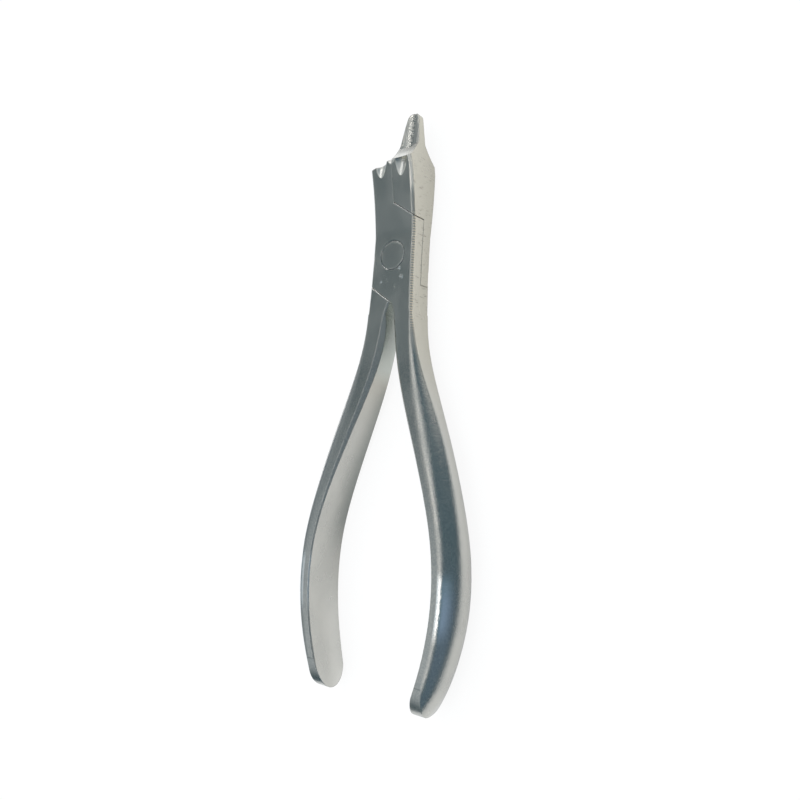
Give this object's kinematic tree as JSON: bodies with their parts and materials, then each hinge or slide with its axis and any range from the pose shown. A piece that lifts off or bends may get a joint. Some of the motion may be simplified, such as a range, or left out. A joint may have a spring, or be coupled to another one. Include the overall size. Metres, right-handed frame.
{
  "type": "orthodontic pliers",
  "caption": "Stainless steel pliers with a lap joint, a stepped jaw end with round flutes, a slim tapered beak on the longer jaw and curved D-section handles, for bending wire.",
  "frame": {"origin": "on the pivot axis, in the flat back face of the joint", "axes": "+X across the pliers towards the long jaw, +Y along them from the handles to the tip, +Z along the pivot from the back face to the front face"},
  "size_m": [0.0476, 0.1401, 0.011],
  "materials": {
    "satin_steel": "satin ground stainless steel"
  },
  "bodies": {
    "rear": {"rear_half": "satin_steel", "pivot_rivet": "satin_steel"},
    "front": {"front_half": "satin_steel"}
  },
  "joints": [
    {"name": "pivot", "type": "hinge", "parent": "rear", "child": "front", "pos_m": [0, 0, 0.0035], "axis": [0, 0, 1], "range_deg": [0, 25]}
  ]
}
